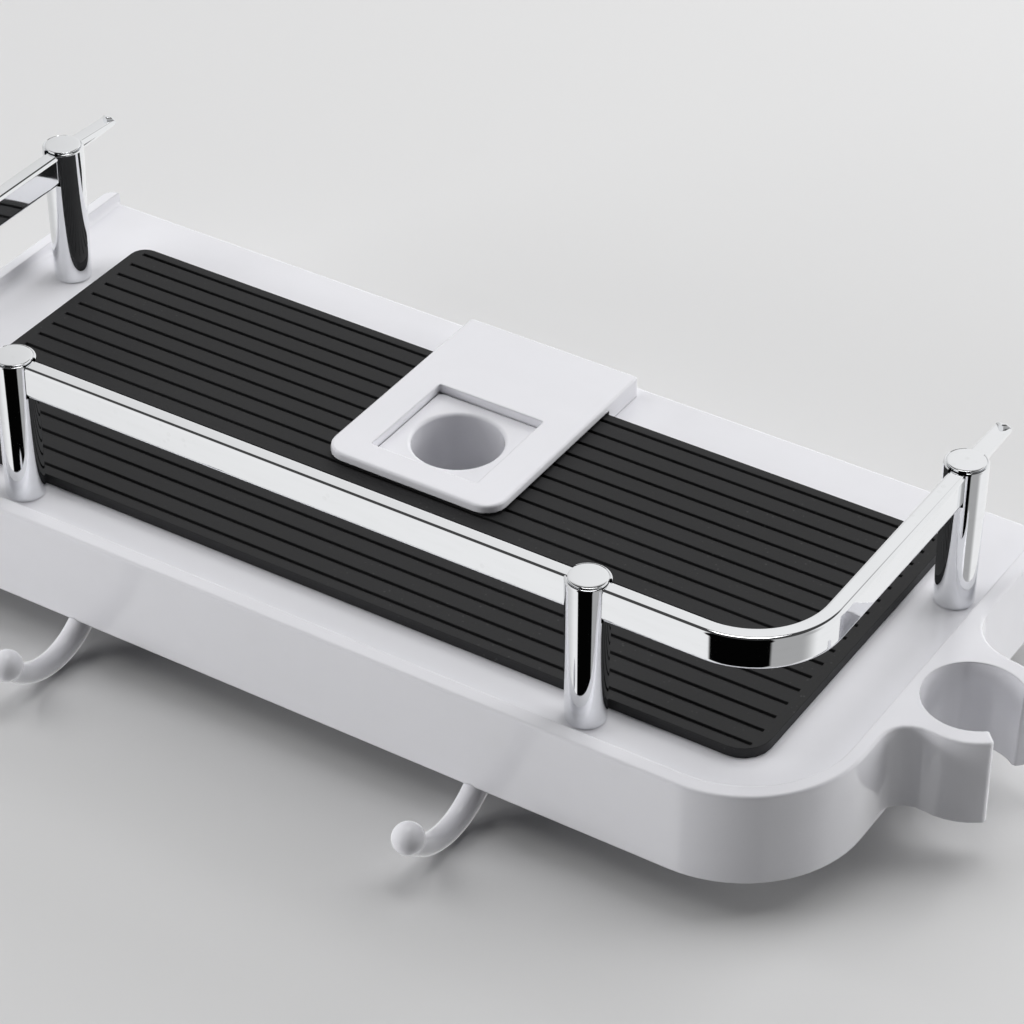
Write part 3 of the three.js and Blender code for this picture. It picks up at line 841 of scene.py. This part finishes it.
@dataclass
class GuardRail:
    """The flat chrome bar bent round the front, with a slim tail behind each rear post."""

    finish: bpy.types.Material
    end_x: float = LAYOUT.rear_post[0]
    front_y: float = LAYOUT.front_post[1]
    shoulder_y: float = 16.5
    tail_y: float = 37.0
    bend: float = 23.5
    width: float = 5.0
    top: float = 69.2
    bottom: float = 59.1
    tail_bottom: float = 65.2
    edge: float = 1.1
    low_edge: float = 1.8
    widest_edge: float = 0.98
    highest_edge: float = 0.49
    tail_round: float = 1.8
    tip_steps: int = 6
    shoulder_steps: int = 4
    bend_steps: int = 40
    corner_steps: int = 5
    crease: float = 40.0

    def build(self) -> None:
        """Sweeps the bar's section along its path."""
        mesh = skin("bent_guard_bar", self._rings())
        shade(mesh, self.crease)
        weigh_normals(add_piece("bent_guard_bar", mesh, self.finish, ["guard_rail"]))

    def _tail(self) -> list[tuple[float, float, float, float]]:
        """Stations of one end, from the hollow in the tail's tip to the shoulder of the bar.

        Returns:
            Tuples of y, half width, bottom and top in millimetres.
        """
        half = self.width / 2
        stations = []
        for turn in quarter_turn(self.tip_steps):
            inset = self.tail_round * (1 - math.sin(turn))
            near = max(0.0, 1 - inset / self.edge)
            drop = self.edge * (1 - math.sqrt(max(0.0, 1 - near**2)))
            stations.append((self.tail_y - inset, half - inset, self.tail_bottom + drop, self.top - drop))
        stations.append((self.shoulder_y, half, self.tail_bottom, self.top))
        for turn in quarter_turn(self.shoulder_steps):
            y = self.shoulder_y - self.edge * (1 - math.cos(turn))
            low = self.bottom + self.edge * (1 - math.sin(turn))
            stations.append((y, half, low, self.top))
        return stations

    def _section(self, half: float, bottom: float, top: float) -> list[Place]:
        """Points of one section, across the travel and up.

        Args:
            half: Half of its width.
            bottom: Its lower height.
            top: Its upper height.

        Returns:
            Pairs of offset and height in millimetres, with rounded corners.
        """
        corners = ((half, top, 0), (-half, top, 1), (-half, bottom, 2), (half, bottom, 3))
        widest = half * self.widest_edge
        highest = (top - bottom) * self.highest_edge
        points = []
        for x, z, quarter in corners:
            upper = quarter < 2
            edge = min(self.edge if upper else self.low_edge, widest, highest)
            cx = x - math.copysign(edge, x)
            cz = z - edge if upper else z + edge
            for i in range(self.corner_steps + 1):
                turn = math.pi / 2 * (quarter + i / self.corner_steps)
                points.append((cx + edge * math.cos(turn), cz + edge * math.sin(turn)))
        return points

    def _rings(self) -> list[Ring]:
        """Works out the whole bar, from the left tail round the front to the right tail.

        Returns:
            The rings of the closed bar, in metres.
        """
        half = self.width / 2
        centre_x = self.end_x - self.bend
        centre_y = self.front_y + self.bend
        stops: list[tuple[float, float, float, float, float, float]] = []
        for y, slim, low, high in self._tail():
            stops.append((-self.end_x, y, math.radians(-90), slim, low, high))
        for side, first in ((-1, 180), (1, 270)):
            for i in range(self.bend_steps + 1):
                turn = math.radians(first + 90 * i / self.bend_steps)
                x = side * centre_x + self.bend * math.cos(turn)
                y = centre_y + self.bend * math.sin(turn)
                stops.append((x, y, turn + math.pi / 2, half, self.bottom, self.top))
        for y, slim, low, high in reversed(self._tail()):
            stops.append((self.end_x, y, math.radians(90), slim, low, high))
        rings = []
        for x, y, heading, slim, low, high in stops:
            right = Vector((math.sin(heading), -math.cos(heading), 0))
            section = self._section(slim, low, high)
            rings.append([(Vector((x, y, 0)) + right * off + Vector((0, 0, z))) * MM for off, z in section])
        return [ring[::-1] for ring in rings]


@dataclass
class RailPosts:
    """The four turned chrome posts with their slots for the bar, and the domed caps on their heads."""

    finish: bpy.types.Material
    front: Place = LAYOUT.front_post
    rear: Place = LAYOUT.rear_post
    foot_z: float = 24.8
    top_z: float = 70.2
    foot_radius: float = 5.6
    foot_edge: tuple[Place, ...] = ((0.5, 0.0), (0.15, 0.1), (0.0, 0.45))
    head_radius: float = 6.15
    rim_drop: float = 0.35
    rim_land: float = 0.15
    rim_edge: float = 0.1
    rim_steps: int = 8
    chamfer: float = 0.6
    recess: float = 5.5
    crease: float = 38.0
    cap_radius: float = 5.3
    cap_seat: float = 69.5
    cap_edge: float = 0.3
    cap_drop: float = 0.38
    cap_dome: float = 0.08
    cap_steps: int = 5
    cap_rings: int = 7
    pole_gap: float = 0.2
    cap_crease: float = 40.0
    slot_half: float = 2.54
    slot_z: float = 59.06
    tail_z: float = 65.16
    shoulder: float = 1.54
    thread_radius: float = 1.9
    thread_top: float = 36.3
    sides: int = 96

    def build(self) -> None:
        """Turns, slots and places the posts and caps."""
        for side_name, side in SIDES:
            for row_name, (x, y) in (("front", self.front), ("rear", self.rear)):
                place = f"{row_name}_{side_name}"
                shift = Matrix.Translation(Vector((side * x, y, 0)) * MM)
                post = self._post(row_name == "rear")
                post.transform(shift)
                piece = add_piece(f"turned_post_{place}", post, self.finish, [f"post_{place}"])
                weigh_normals(piece)
                cap = self._cap()
                cap.transform(shift)
                add_piece(f"domed_cap_{place}", cap, self.finish, [f"post_cap_{place}"])

    def _post(self, rear: bool) -> bpy.types.Mesh:
        """Turns one post at the origin and cuts its slot.

        Args:
            rear: True for a rear post, where the bar steps down to its tail.

        Returns:
            The post's mesh.
        """
        rim = self.top_z - self.rim_drop
        profile = [(self.foot_radius - inset, self.foot_z + rise) for inset, rise in self.foot_edge]
        profile.append((self.head_radius, rim - self.chamfer))
        reach = self.head_radius - self.recess - self.rim_land
        for turn in quarter_turn(self.rim_steps)[1:]:
            radius = self.head_radius - reach * (1 - math.cos(turn))
            profile.append((radius, rim - self.chamfer * (1 - math.sin(turn))))
        profile += [(self.recess, rim - self.rim_edge), (self.recess, self.cap_seat)]
        body = skin("turned_post", turned(profile, self.sides))
        out = self.head_radius + CUT_PAST
        top = self.top_z + CUT_PAST
        half = self.slot_half
        if rear:
            tools = [
                box_mesh((-half, -out, self.slot_z), (half, self.shoulder, top)),
                box_mesh((-half, 0, self.tail_z), (half, out, top)),
            ]
        else:
            tools = [box_mesh((-out, -half, self.slot_z), (out, half, top))]
        tools.append(rod_mesh(self.thread_radius, self.foot_z - CUT_PAST, self.thread_top))
        mesh = carved(body, tools)
        shade(mesh, self.crease)
        return mesh

    def _cap(self) -> bpy.types.Mesh:
        """Turns one cap at the origin.

        Returns:
            The cap's mesh.
        """
        profile = [(self.cap_radius, self.cap_seat)]
        for turn in quarter_turn(self.cap_steps):
            radius = self.cap_radius - self.cap_edge * (1 - math.cos(turn))
            profile.append((radius, self.top_z - self.cap_drop + self.cap_edge * math.sin(turn)))
        for i in range(1, self.cap_rings + 1):
            radius = (self.cap_radius - self.cap_edge) * (1 - i / (self.cap_rings + self.pole_gap))
            profile.append((radius, self.top_z - self.cap_dome * (radius / self.cap_radius) ** 2))
        mesh = skin("domed_cap", turned(profile, self.sides))
        shade(mesh, self.cap_crease)
        return mesh


@dataclass
class FrontHooks:
    """The two white J hooks under the front edge, each with a ball on its tip."""

    finish: bpy.types.Material
    reach_x: float = LAYOUT.hook_x
    arc_y: float = -105.0
    arc_z: float = 13.68
    arc_radius: float = 21.0
    root_radius: float = 3.7
    tip_radius: float = 2.9
    tip_turn: float = -151.0
    ball_radius: float = 4.5
    ball_rings: int = 24
    pole_gap: float = 0.4
    peg_top: float = 20.7
    peg_edge: float = 0.4
    screw_radius: float = 1.5
    screw_reach: float = 7.3
    steps: int = 60
    sides: int = 40
    crease: float = 50.0

    def build(self) -> None:
        """Makes both hooks, each with the hole for its cross screw."""
        for side_name, side in SIDES:
            hole = rod_mesh(self.screw_radius, -CUT_PAST, self.screw_reach)
            hole.transform(Matrix.Rotation(math.pi / 2, 4, "X"))
            seat = Vector((side * self.reach_x, LAYOUT.hook_screw_y, LAYOUT.hook_screw_z)) * MM
            hole.transform(Matrix.Translation(seat))
            mesh = carved(skin("ball_hook", self._rings(side * self.reach_x)), [hole])
            shade(mesh, self.crease)
            add_piece(f"ball_hook_{side_name}", mesh, self.finish, [f"hook_{side_name}"])

    def _on_arc(self, turn: float) -> Place:
        """Point of the centre line at an angle, as y and z in millimetres."""
        y = self.arc_y + self.arc_radius * math.cos(turn)
        return y, self.arc_z + self.arc_radius * math.sin(turn)

    def _rings(self, x: float) -> list[Ring]:
        """Rings from the peg's top along the arc to the ball's end.

        Args:
            x: Where the hook sits along the shelf, in millimetres.

        Returns:
            The rings of one closed hook.
        """
        end = math.radians(self.tip_turn)
        neck = math.sqrt(self.ball_radius**2 - self.tip_radius**2)
        arc_end = end + neck / self.arc_radius
        root_y = self.arc_y + self.arc_radius
        stations = [(root_y, self.peg_top, 0.0, -1.0, self.root_radius - self.peg_edge)]
        stations.append((root_y, self.peg_top - self.peg_edge, 0.0, -1.0, self.root_radius))
        for i in range(self.steps + 1):
            turn = arc_end * i / self.steps
            y, z = self._on_arc(turn)
            thick = self.root_radius + (self.tip_radius - self.root_radius) * turn / end
            stations.append((y, z, math.sin(turn), -math.cos(turn), thick))
        ball_y, ball_z = self._on_arc(end)
        last_y, last_z = stations[-1][:2]
        length = math.hypot(ball_y - last_y, ball_z - last_z)
        along_y = (ball_y - last_y) / length
        along_z = (ball_z - last_z) / length
        start = math.acos(-neck / self.ball_radius)
        for i in range(1, self.ball_rings + 1):
            turn = start * (1 - i / (self.ball_rings + self.pole_gap))
            reach = self.ball_radius * math.cos(turn)
            thick = self.ball_radius * math.sin(turn)
            stations.append((ball_y + along_y * reach, ball_z + along_z * reach, along_y, along_z, thick))
        side = Vector((1, 0, 0))
        turns = circle(self.sides)
        rings = []
        for y, z, dy, dz, thick in stations:
            up = Vector((0, -dz, dy))
            middle = Vector((x, y, z))
            rings.append([(middle + (side * math.cos(a) - up * math.sin(a)) * thick) * MM for a in turns])
        return rings


@dataclass(frozen=True)
class ScrewSize:
    """Sizes of one kind of pan-head screw, in millimetres; shank and head are radii."""

    shank: float
    head: float
    rise: float
    length: float
    pitch: float


@dataclass
class Screws:
    """The steel pan-head screws under the deck, with cross recesses and rolled threads.

    The crown's outline is in shares of a head's radius and rise, the thread's and the tip's sizes are in
    shares of a shank's radius, and the recess is in shares of a head's rise and radius.
    """

    finish: bpy.types.Material
    post_size: ScrewSize = ScrewSize(1.6, 3.4, 2.2, 22.0, 1.2)
    cover_size: ScrewSize = ScrewSize(1.2, 2.7, 1.8, 6.4, 1.0)
    hook_size: ScrewSize = ScrewSize(1.2, 2.6, 1.8, 7.0, 1.0)
    posts: tuple[Place, Place] = (LAYOUT.front_post, LAYOUT.rear_post)
    post_seat: float = 14.0
    cover_places: tuple[Place, ...] = ((21.5, -14.0), (-21.5, -14.0), (20.0, 38.0), (-20.0, 38.0))
    cover_seat: float = 22.6
    crown: tuple[Place, ...] = (
        (0.12, 1.0), (0.4, 0.99), (0.62, 0.93), (0.8, 0.78),
        (0.92, 0.55), (0.98, 0.3), (1.0, 0.12), (0.97, 0.0),
    )
    neck: float = 0.86
    core: float = 0.78
    ridge: float = 0.22
    ridge_half: float = 0.32
    rows_in_pitch: int = 8
    tip: float = 0.25
    tip_slope: float = 2.0
    tip_reach: float = 2.2
    recess_ends: tuple[Place, Place] = ((1.1, 1.0), (0.4, 0.5))
    recess_long: float = 0.56
    recess_slim: float = 0.13
    sides: int = 28
    crease: float = 42.0

    def build(self) -> None:
        """Makes every screw in its place."""
        along_y = Matrix.Rotation(math.pi / 2, 4, "X")
        for side_name, side in SIDES:
            for row_name, (x, y) in zip(("front", "rear"), self.posts):
                place = Matrix.Translation(Vector((side * x, y, self.post_seat)) * MM)
                self._put(self.post_size, place, f"post_screw_{row_name}_{side_name}")
            seat = Vector((side * LAYOUT.hook_x, LAYOUT.hook_screw_y, LAYOUT.hook_screw_z)) * MM
            self._put(self.hook_size, Matrix.Translation(seat) @ along_y, f"hook_screw_{side_name}")
        for index, (x, y) in enumerate(self.cover_places, 1):
            place = Matrix.Translation(Vector((x, y, self.cover_seat)) * MM)
            self._put(self.cover_size, place, f"cover_screw_{index}")

    def _put(self, size: ScrewSize, place: Matrix, node: str) -> None:
        """Makes one screw in place of a CAD screw.

        Args:
            size: Its kind.
            place: Where it goes.
            node: The CAD node that it replaces.
        """
        mesh = carved(skin("pan_screw", self._rings(size)), [self._recess(size)])
        mesh.transform(place)
        shade(mesh, self.crease)
        add_piece(f"threaded_{node}", mesh, self.finish, [node])

    def _rings(self, size: ScrewSize) -> list[Ring]:
        """Rings from the head's crown to the thread's tip, with the seat at z = 0.

        Args:
            size: Its kind.

        Returns:
            The rings of one closed screw.
        """
        profile = [(radius * size.head, -rise * size.rise) for radius, rise in self.crown]
        profile.append((size.shank * self.neck, 0.0))
        rings = turned(profile, self.sides)
        count = int(size.length / size.pitch * self.rows_in_pitch)
        for row in range(1, count + 1):
            z = size.length * row / count
            left = self.tip_slope * (1 - row / (count + 1)) * size.length
            run_out = self.tip + (1 - self.tip) * min(1.0, left / (self.tip_reach * size.shank))
            ring = []
            for a in circle(self.sides):
                phase = (z / size.pitch - a / (2 * math.pi)) % 1.0
                height = max(0.0, 1 - abs(phase - 0.5) / self.ridge_half)
                radius = size.shank * (self.core + self.ridge * height) * run_out
                ring.append(Vector((radius * math.cos(a), radius * math.sin(a), z)) * MM)
            rings.append(ring)
        return rings

    def _recess(self, size: ScrewSize) -> bpy.types.Mesh:
        """The tapered cross that is cut into a head.

        Args:
            size: The screw's kind.

        Returns:
            The cutting mesh.
        """
        rings = []
        for depth, share in self.recess_ends:
            z = -size.rise * depth
            long = self.recess_long * size.head * share
            slim = self.recess_slim * size.head * share
            cross = []
            for turn in circle(4):
                c, s = math.cos(turn), math.sin(turn)
                for x, y in ((long, -slim), (long, slim), (slim, slim)):
                    cross.append(Vector((x * c - y * s, x * s + y * c, z)) * MM)
            rings.append(cross)
        return skin("cross_recess", rings)


@dataclass(frozen=True)
class Softbox:
    """One soft lamp that faces the object: its place and sides in metres, and its power in watts."""

    name: str
    place: Triple
    width: float
    height: float
    power: float
    mirrored: bool = False

    def hang(self) -> None:
        """Hangs the lamp; mirrors look past it unless it is to show in them."""
        lamp = bpy.data.lights.new(self.name, "AREA")
        lamp.shape = "RECTANGLE"
        lamp.size = self.width
        lamp.size_y = self.height
        lamp.energy = self.power
        light = bpy.data.objects.new(self.name, lamp)
        light.location = self.place
        light.rotation_euler = (-Vector(self.place)).to_track_quat("-Z", "Y").to_euler()
        light.visible_glossy = self.mirrored
        bpy.context.scene.collection.objects.link(light)


@dataclass(frozen=True)
class MirrorBand:
    """An upright band of the surroundings in the chrome: heading and half width in degrees, and tone."""

    azimuth: float
    reach: float
    soft: float
    tone: float


@dataclass(frozen=True)
class View:
    """A direction from the object: X and Y of its heading, and its own Z."""

    east: Socket
    north: Socket
    rise: Socket

    def facing(self, azimuth: float) -> Socket:
        """Cosine of the angle between the heading and an azimuth in degrees."""
        turn = math.radians(azimuth)
        return self.east * math.cos(turn) + self.north * math.sin(turn)


@dataclass
class Studio:
    """Pale floor, black flag, soft lights, the surroundings that the chrome mirrors, and the camera."""

    floor_z: float
    camera_place: Triple = (0.456489, -0.694584, 0.620571)
    camera_right: Triple = (0.84487679, 0.53495756, 0.00190281)
    camera_up: Triple = (-0.32013405, 0.50274254, 0.80297206)
    camera_back: Triple = (0.42859935, -0.67902161, 0.59601363)
    lens: float = 127.674
    sensor: float = 36.0
    floor_reach: float = 6.0
    floor_paper: StudioPaper = StudioPaper()
    flag_low: Place = (-0.082, 0.062)
    flag_high: Place = (-0.01, 0.117)
    flag_paper: StudioPaper = StudioPaper("black_flag", (0.002, 0.002, 0.002), (0.003, 0.003, 0.003))
    backdrop: float = 0.84
    wall_level: float = 0.92
    bands: tuple[MirrorBand, ...] = (
        MirrorBand(175.0, 45.0, 0.25, 0.66),
        MirrorBand(-26.0, 36.0, 0.12, 0.4),
        MirrorBand(-73.0, 35.0, 0.02, 0.001),
    )
    ceiling_rise: float = 0.69
    ceiling_soft: float = 0.04
    ceiling_level: float = 0.06
    ambient_azimuth: float = 60.0
    ambient_facing: Place = (0.8, 1.0)
    ambient_rise: Place = (0.9, 0.5)
    ambient_level: float = 0.3
    lamps: tuple[Softbox, ...] = (
        Softbox("left_softbox", (-1.06, -0.385, 1.34), 1.1, 1.1, 9.5),
        Softbox("low_left_strip", (-1.265, -1.18, 0.3), 0.9, 0.45, 16.5),
        Softbox("overhead_softbox", (-0.1, 0.3, 1.8), 0.7, 0.7, 6.7, True),
        Softbox("rear_strip", (-0.2, 1.6, 0.7), 1.2, 1.2, 11.5),
        Softbox("rear_right_softbox", (0.6, 1.0, 1.3), 1.2, 1.2, 13.0),
        Softbox("low_right_strip", (1.29, 1.1, 0.38), 1.5, 0.6, 12.8),
    )

    def build(self) -> None:
        """Sets up everything round the object."""
        self._add_floor()
        self._add_flag()
        for lamp in self.lamps:
            lamp.hang()
        self._add_world()
        self._add_camera()
        bpy.context.scene.view_settings.view_transform = "Standard"
        LOG.info("studio ready, floor at %.4f m", self.floor_z)

    def _lay_sheet(self, name: str, low: Place, high: Place, finish: StudioPaper) -> bpy.types.Object:
        """Lays a sheet of paper at the height of the floor.

        Args:
            name: Name of the sheet.
            low: Its left front corner in metres.
            high: Its right rear corner in metres.
            finish: Its paper.

        Returns:
            The sheet, as a stage object.
        """
        mesh = bpy.data.meshes.new(name)
        corners = [low, (high[0], low[1]), high, (low[0], high[1])]
        mesh.from_pydata([(x, y, self.floor_z) for x, y in corners], [], [(0, 1, 2, 3)])
        mesh.materials.append(finish.material())
        sheet = bpy.data.objects.new(name, mesh)
        bpy.context.scene.collection.objects.link(sheet)
        sheet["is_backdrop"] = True
        return sheet

    def _add_floor(self) -> None:
        """Lays the floor under the object; mirrors look past it at the surroundings."""
        reach = self.floor_reach
        floor = self._lay_sheet("studio_floor", (-reach, -reach), (reach, reach), self.floor_paper)
        floor.visible_glossy = False

    def _add_flag(self) -> None:
        """Lays a black flag behind the shelf that only mirrors see."""
        flag = self._lay_sheet("studio_flag", self.flag_low, self.flag_high, self.flag_paper)
        flag.visible_camera = False
        flag.visible_diffuse = False
        flag.visible_shadow = False

    def _add_world(self) -> None:
        """Surroundings: one pattern for mirrors, a softer one for matt light, and a pale backdrop."""
        world = bpy.data.worlds.new("studio_surroundings")
        bpy.context.scene.world = world
        world.use_nodes = True
        graph = Graph(world.node_tree)
        coords = graph.add("ShaderNodeTexCoord", {}, {}, "Generated")
        parts = graph.node("ShaderNodeSeparateXYZ", {}, {0: coords})
        x, y, z = (Socket(graph, parts.outputs[i]) for i in range(3))
        flat = (x * x + y * y + NO_ZERO) ** 0.5
        path = graph.node("ShaderNodeLightPath", {}, {})
        camera, glossy = (Socket(graph, path.outputs[n]) for n in ("Is Camera Ray", "Is Glossy Ray"))
        view = View(x / flat, y / flat, z)
        level = self._ambient(view)
        level = level + (self._mirrored(view) - level) * glossy
        level = level + (self.backdrop - level) * camera
        light = graph.add("ShaderNodeBackground", {}, {"Color": (1, 1, 1, 1), "Strength": level})
        graph.node("ShaderNodeOutputWorld", {}, {"Surface": light})

    def _mirrored(self, view: View) -> Socket:
        """What the chrome sees: bright walls, two grey bands and a black one, and a dark ceiling.

        Args:
            view: The direction that is looked in.

        Returns:
            The light level in that direction.
        """
        level: Socket | float = self.wall_level
        for band in self.bands:
            edge = math.cos(math.radians(band.reach))
            inside = view.facing(band.azimuth).step(edge - band.soft, edge + band.soft)
            level = level + inside * (band.tone - level)
        low = self.ceiling_rise - self.ceiling_soft
        high = self.ceiling_rise + self.ceiling_soft
        return level + view.rise.step(low, high) * (self.ceiling_level - level)

    def _ambient(self, view: View) -> Socket:
        """Soft light on matt surfaces, from one low side of the room."""
        facing = view.facing(self.ambient_azimuth).step(*self.ambient_facing)
        return self.ambient_level * facing * view.rise.step(*self.ambient_rise)

    def _add_camera(self) -> None:
        """Places the camera at the photograph's viewpoint."""
        data = bpy.data.cameras.new("photo_camera")
        data.sensor_width = self.sensor
        data.lens = self.lens
        camera = bpy.data.objects.new("photo_camera", data)
        axes = Matrix((self.camera_right, self.camera_up, self.camera_back)).transposed()
        camera.matrix_world = Matrix.Translation(self.camera_place) @ axes.to_4x4()
        bpy.context.scene.collection.objects.link(camera)
        bpy.context.scene.camera = camera


def plain_box() -> list[list[float]]:
    """The present box of the whole object as plain numbers."""
    return [[float(value) for value in corner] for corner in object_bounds()]


def main() -> None:
    """Dresses the frame piece by piece and sets up the studio."""
    logging.basicConfig(level=logging.INFO, format="%(name)s: %(message)s")
    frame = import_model()
    cad_box = plain_box()
    plastic = GlossPlastic().material()
    chrome = MirrorChrome().material()
    Mouldings(plastic).dress(frame)
    WindowCover(plastic).build(frame)
    GroovedMat(MatRubber().material()).build(frame)
    GuardRail(chrome).build()
    RailPosts(chrome).build()
    FrontHooks(plastic).build()
    Screws(TurnedSteel().material()).build()
    Studio(cad_box[0][2] - FLOOR_GAP).build()


if __name__ == "__main__":
    main()
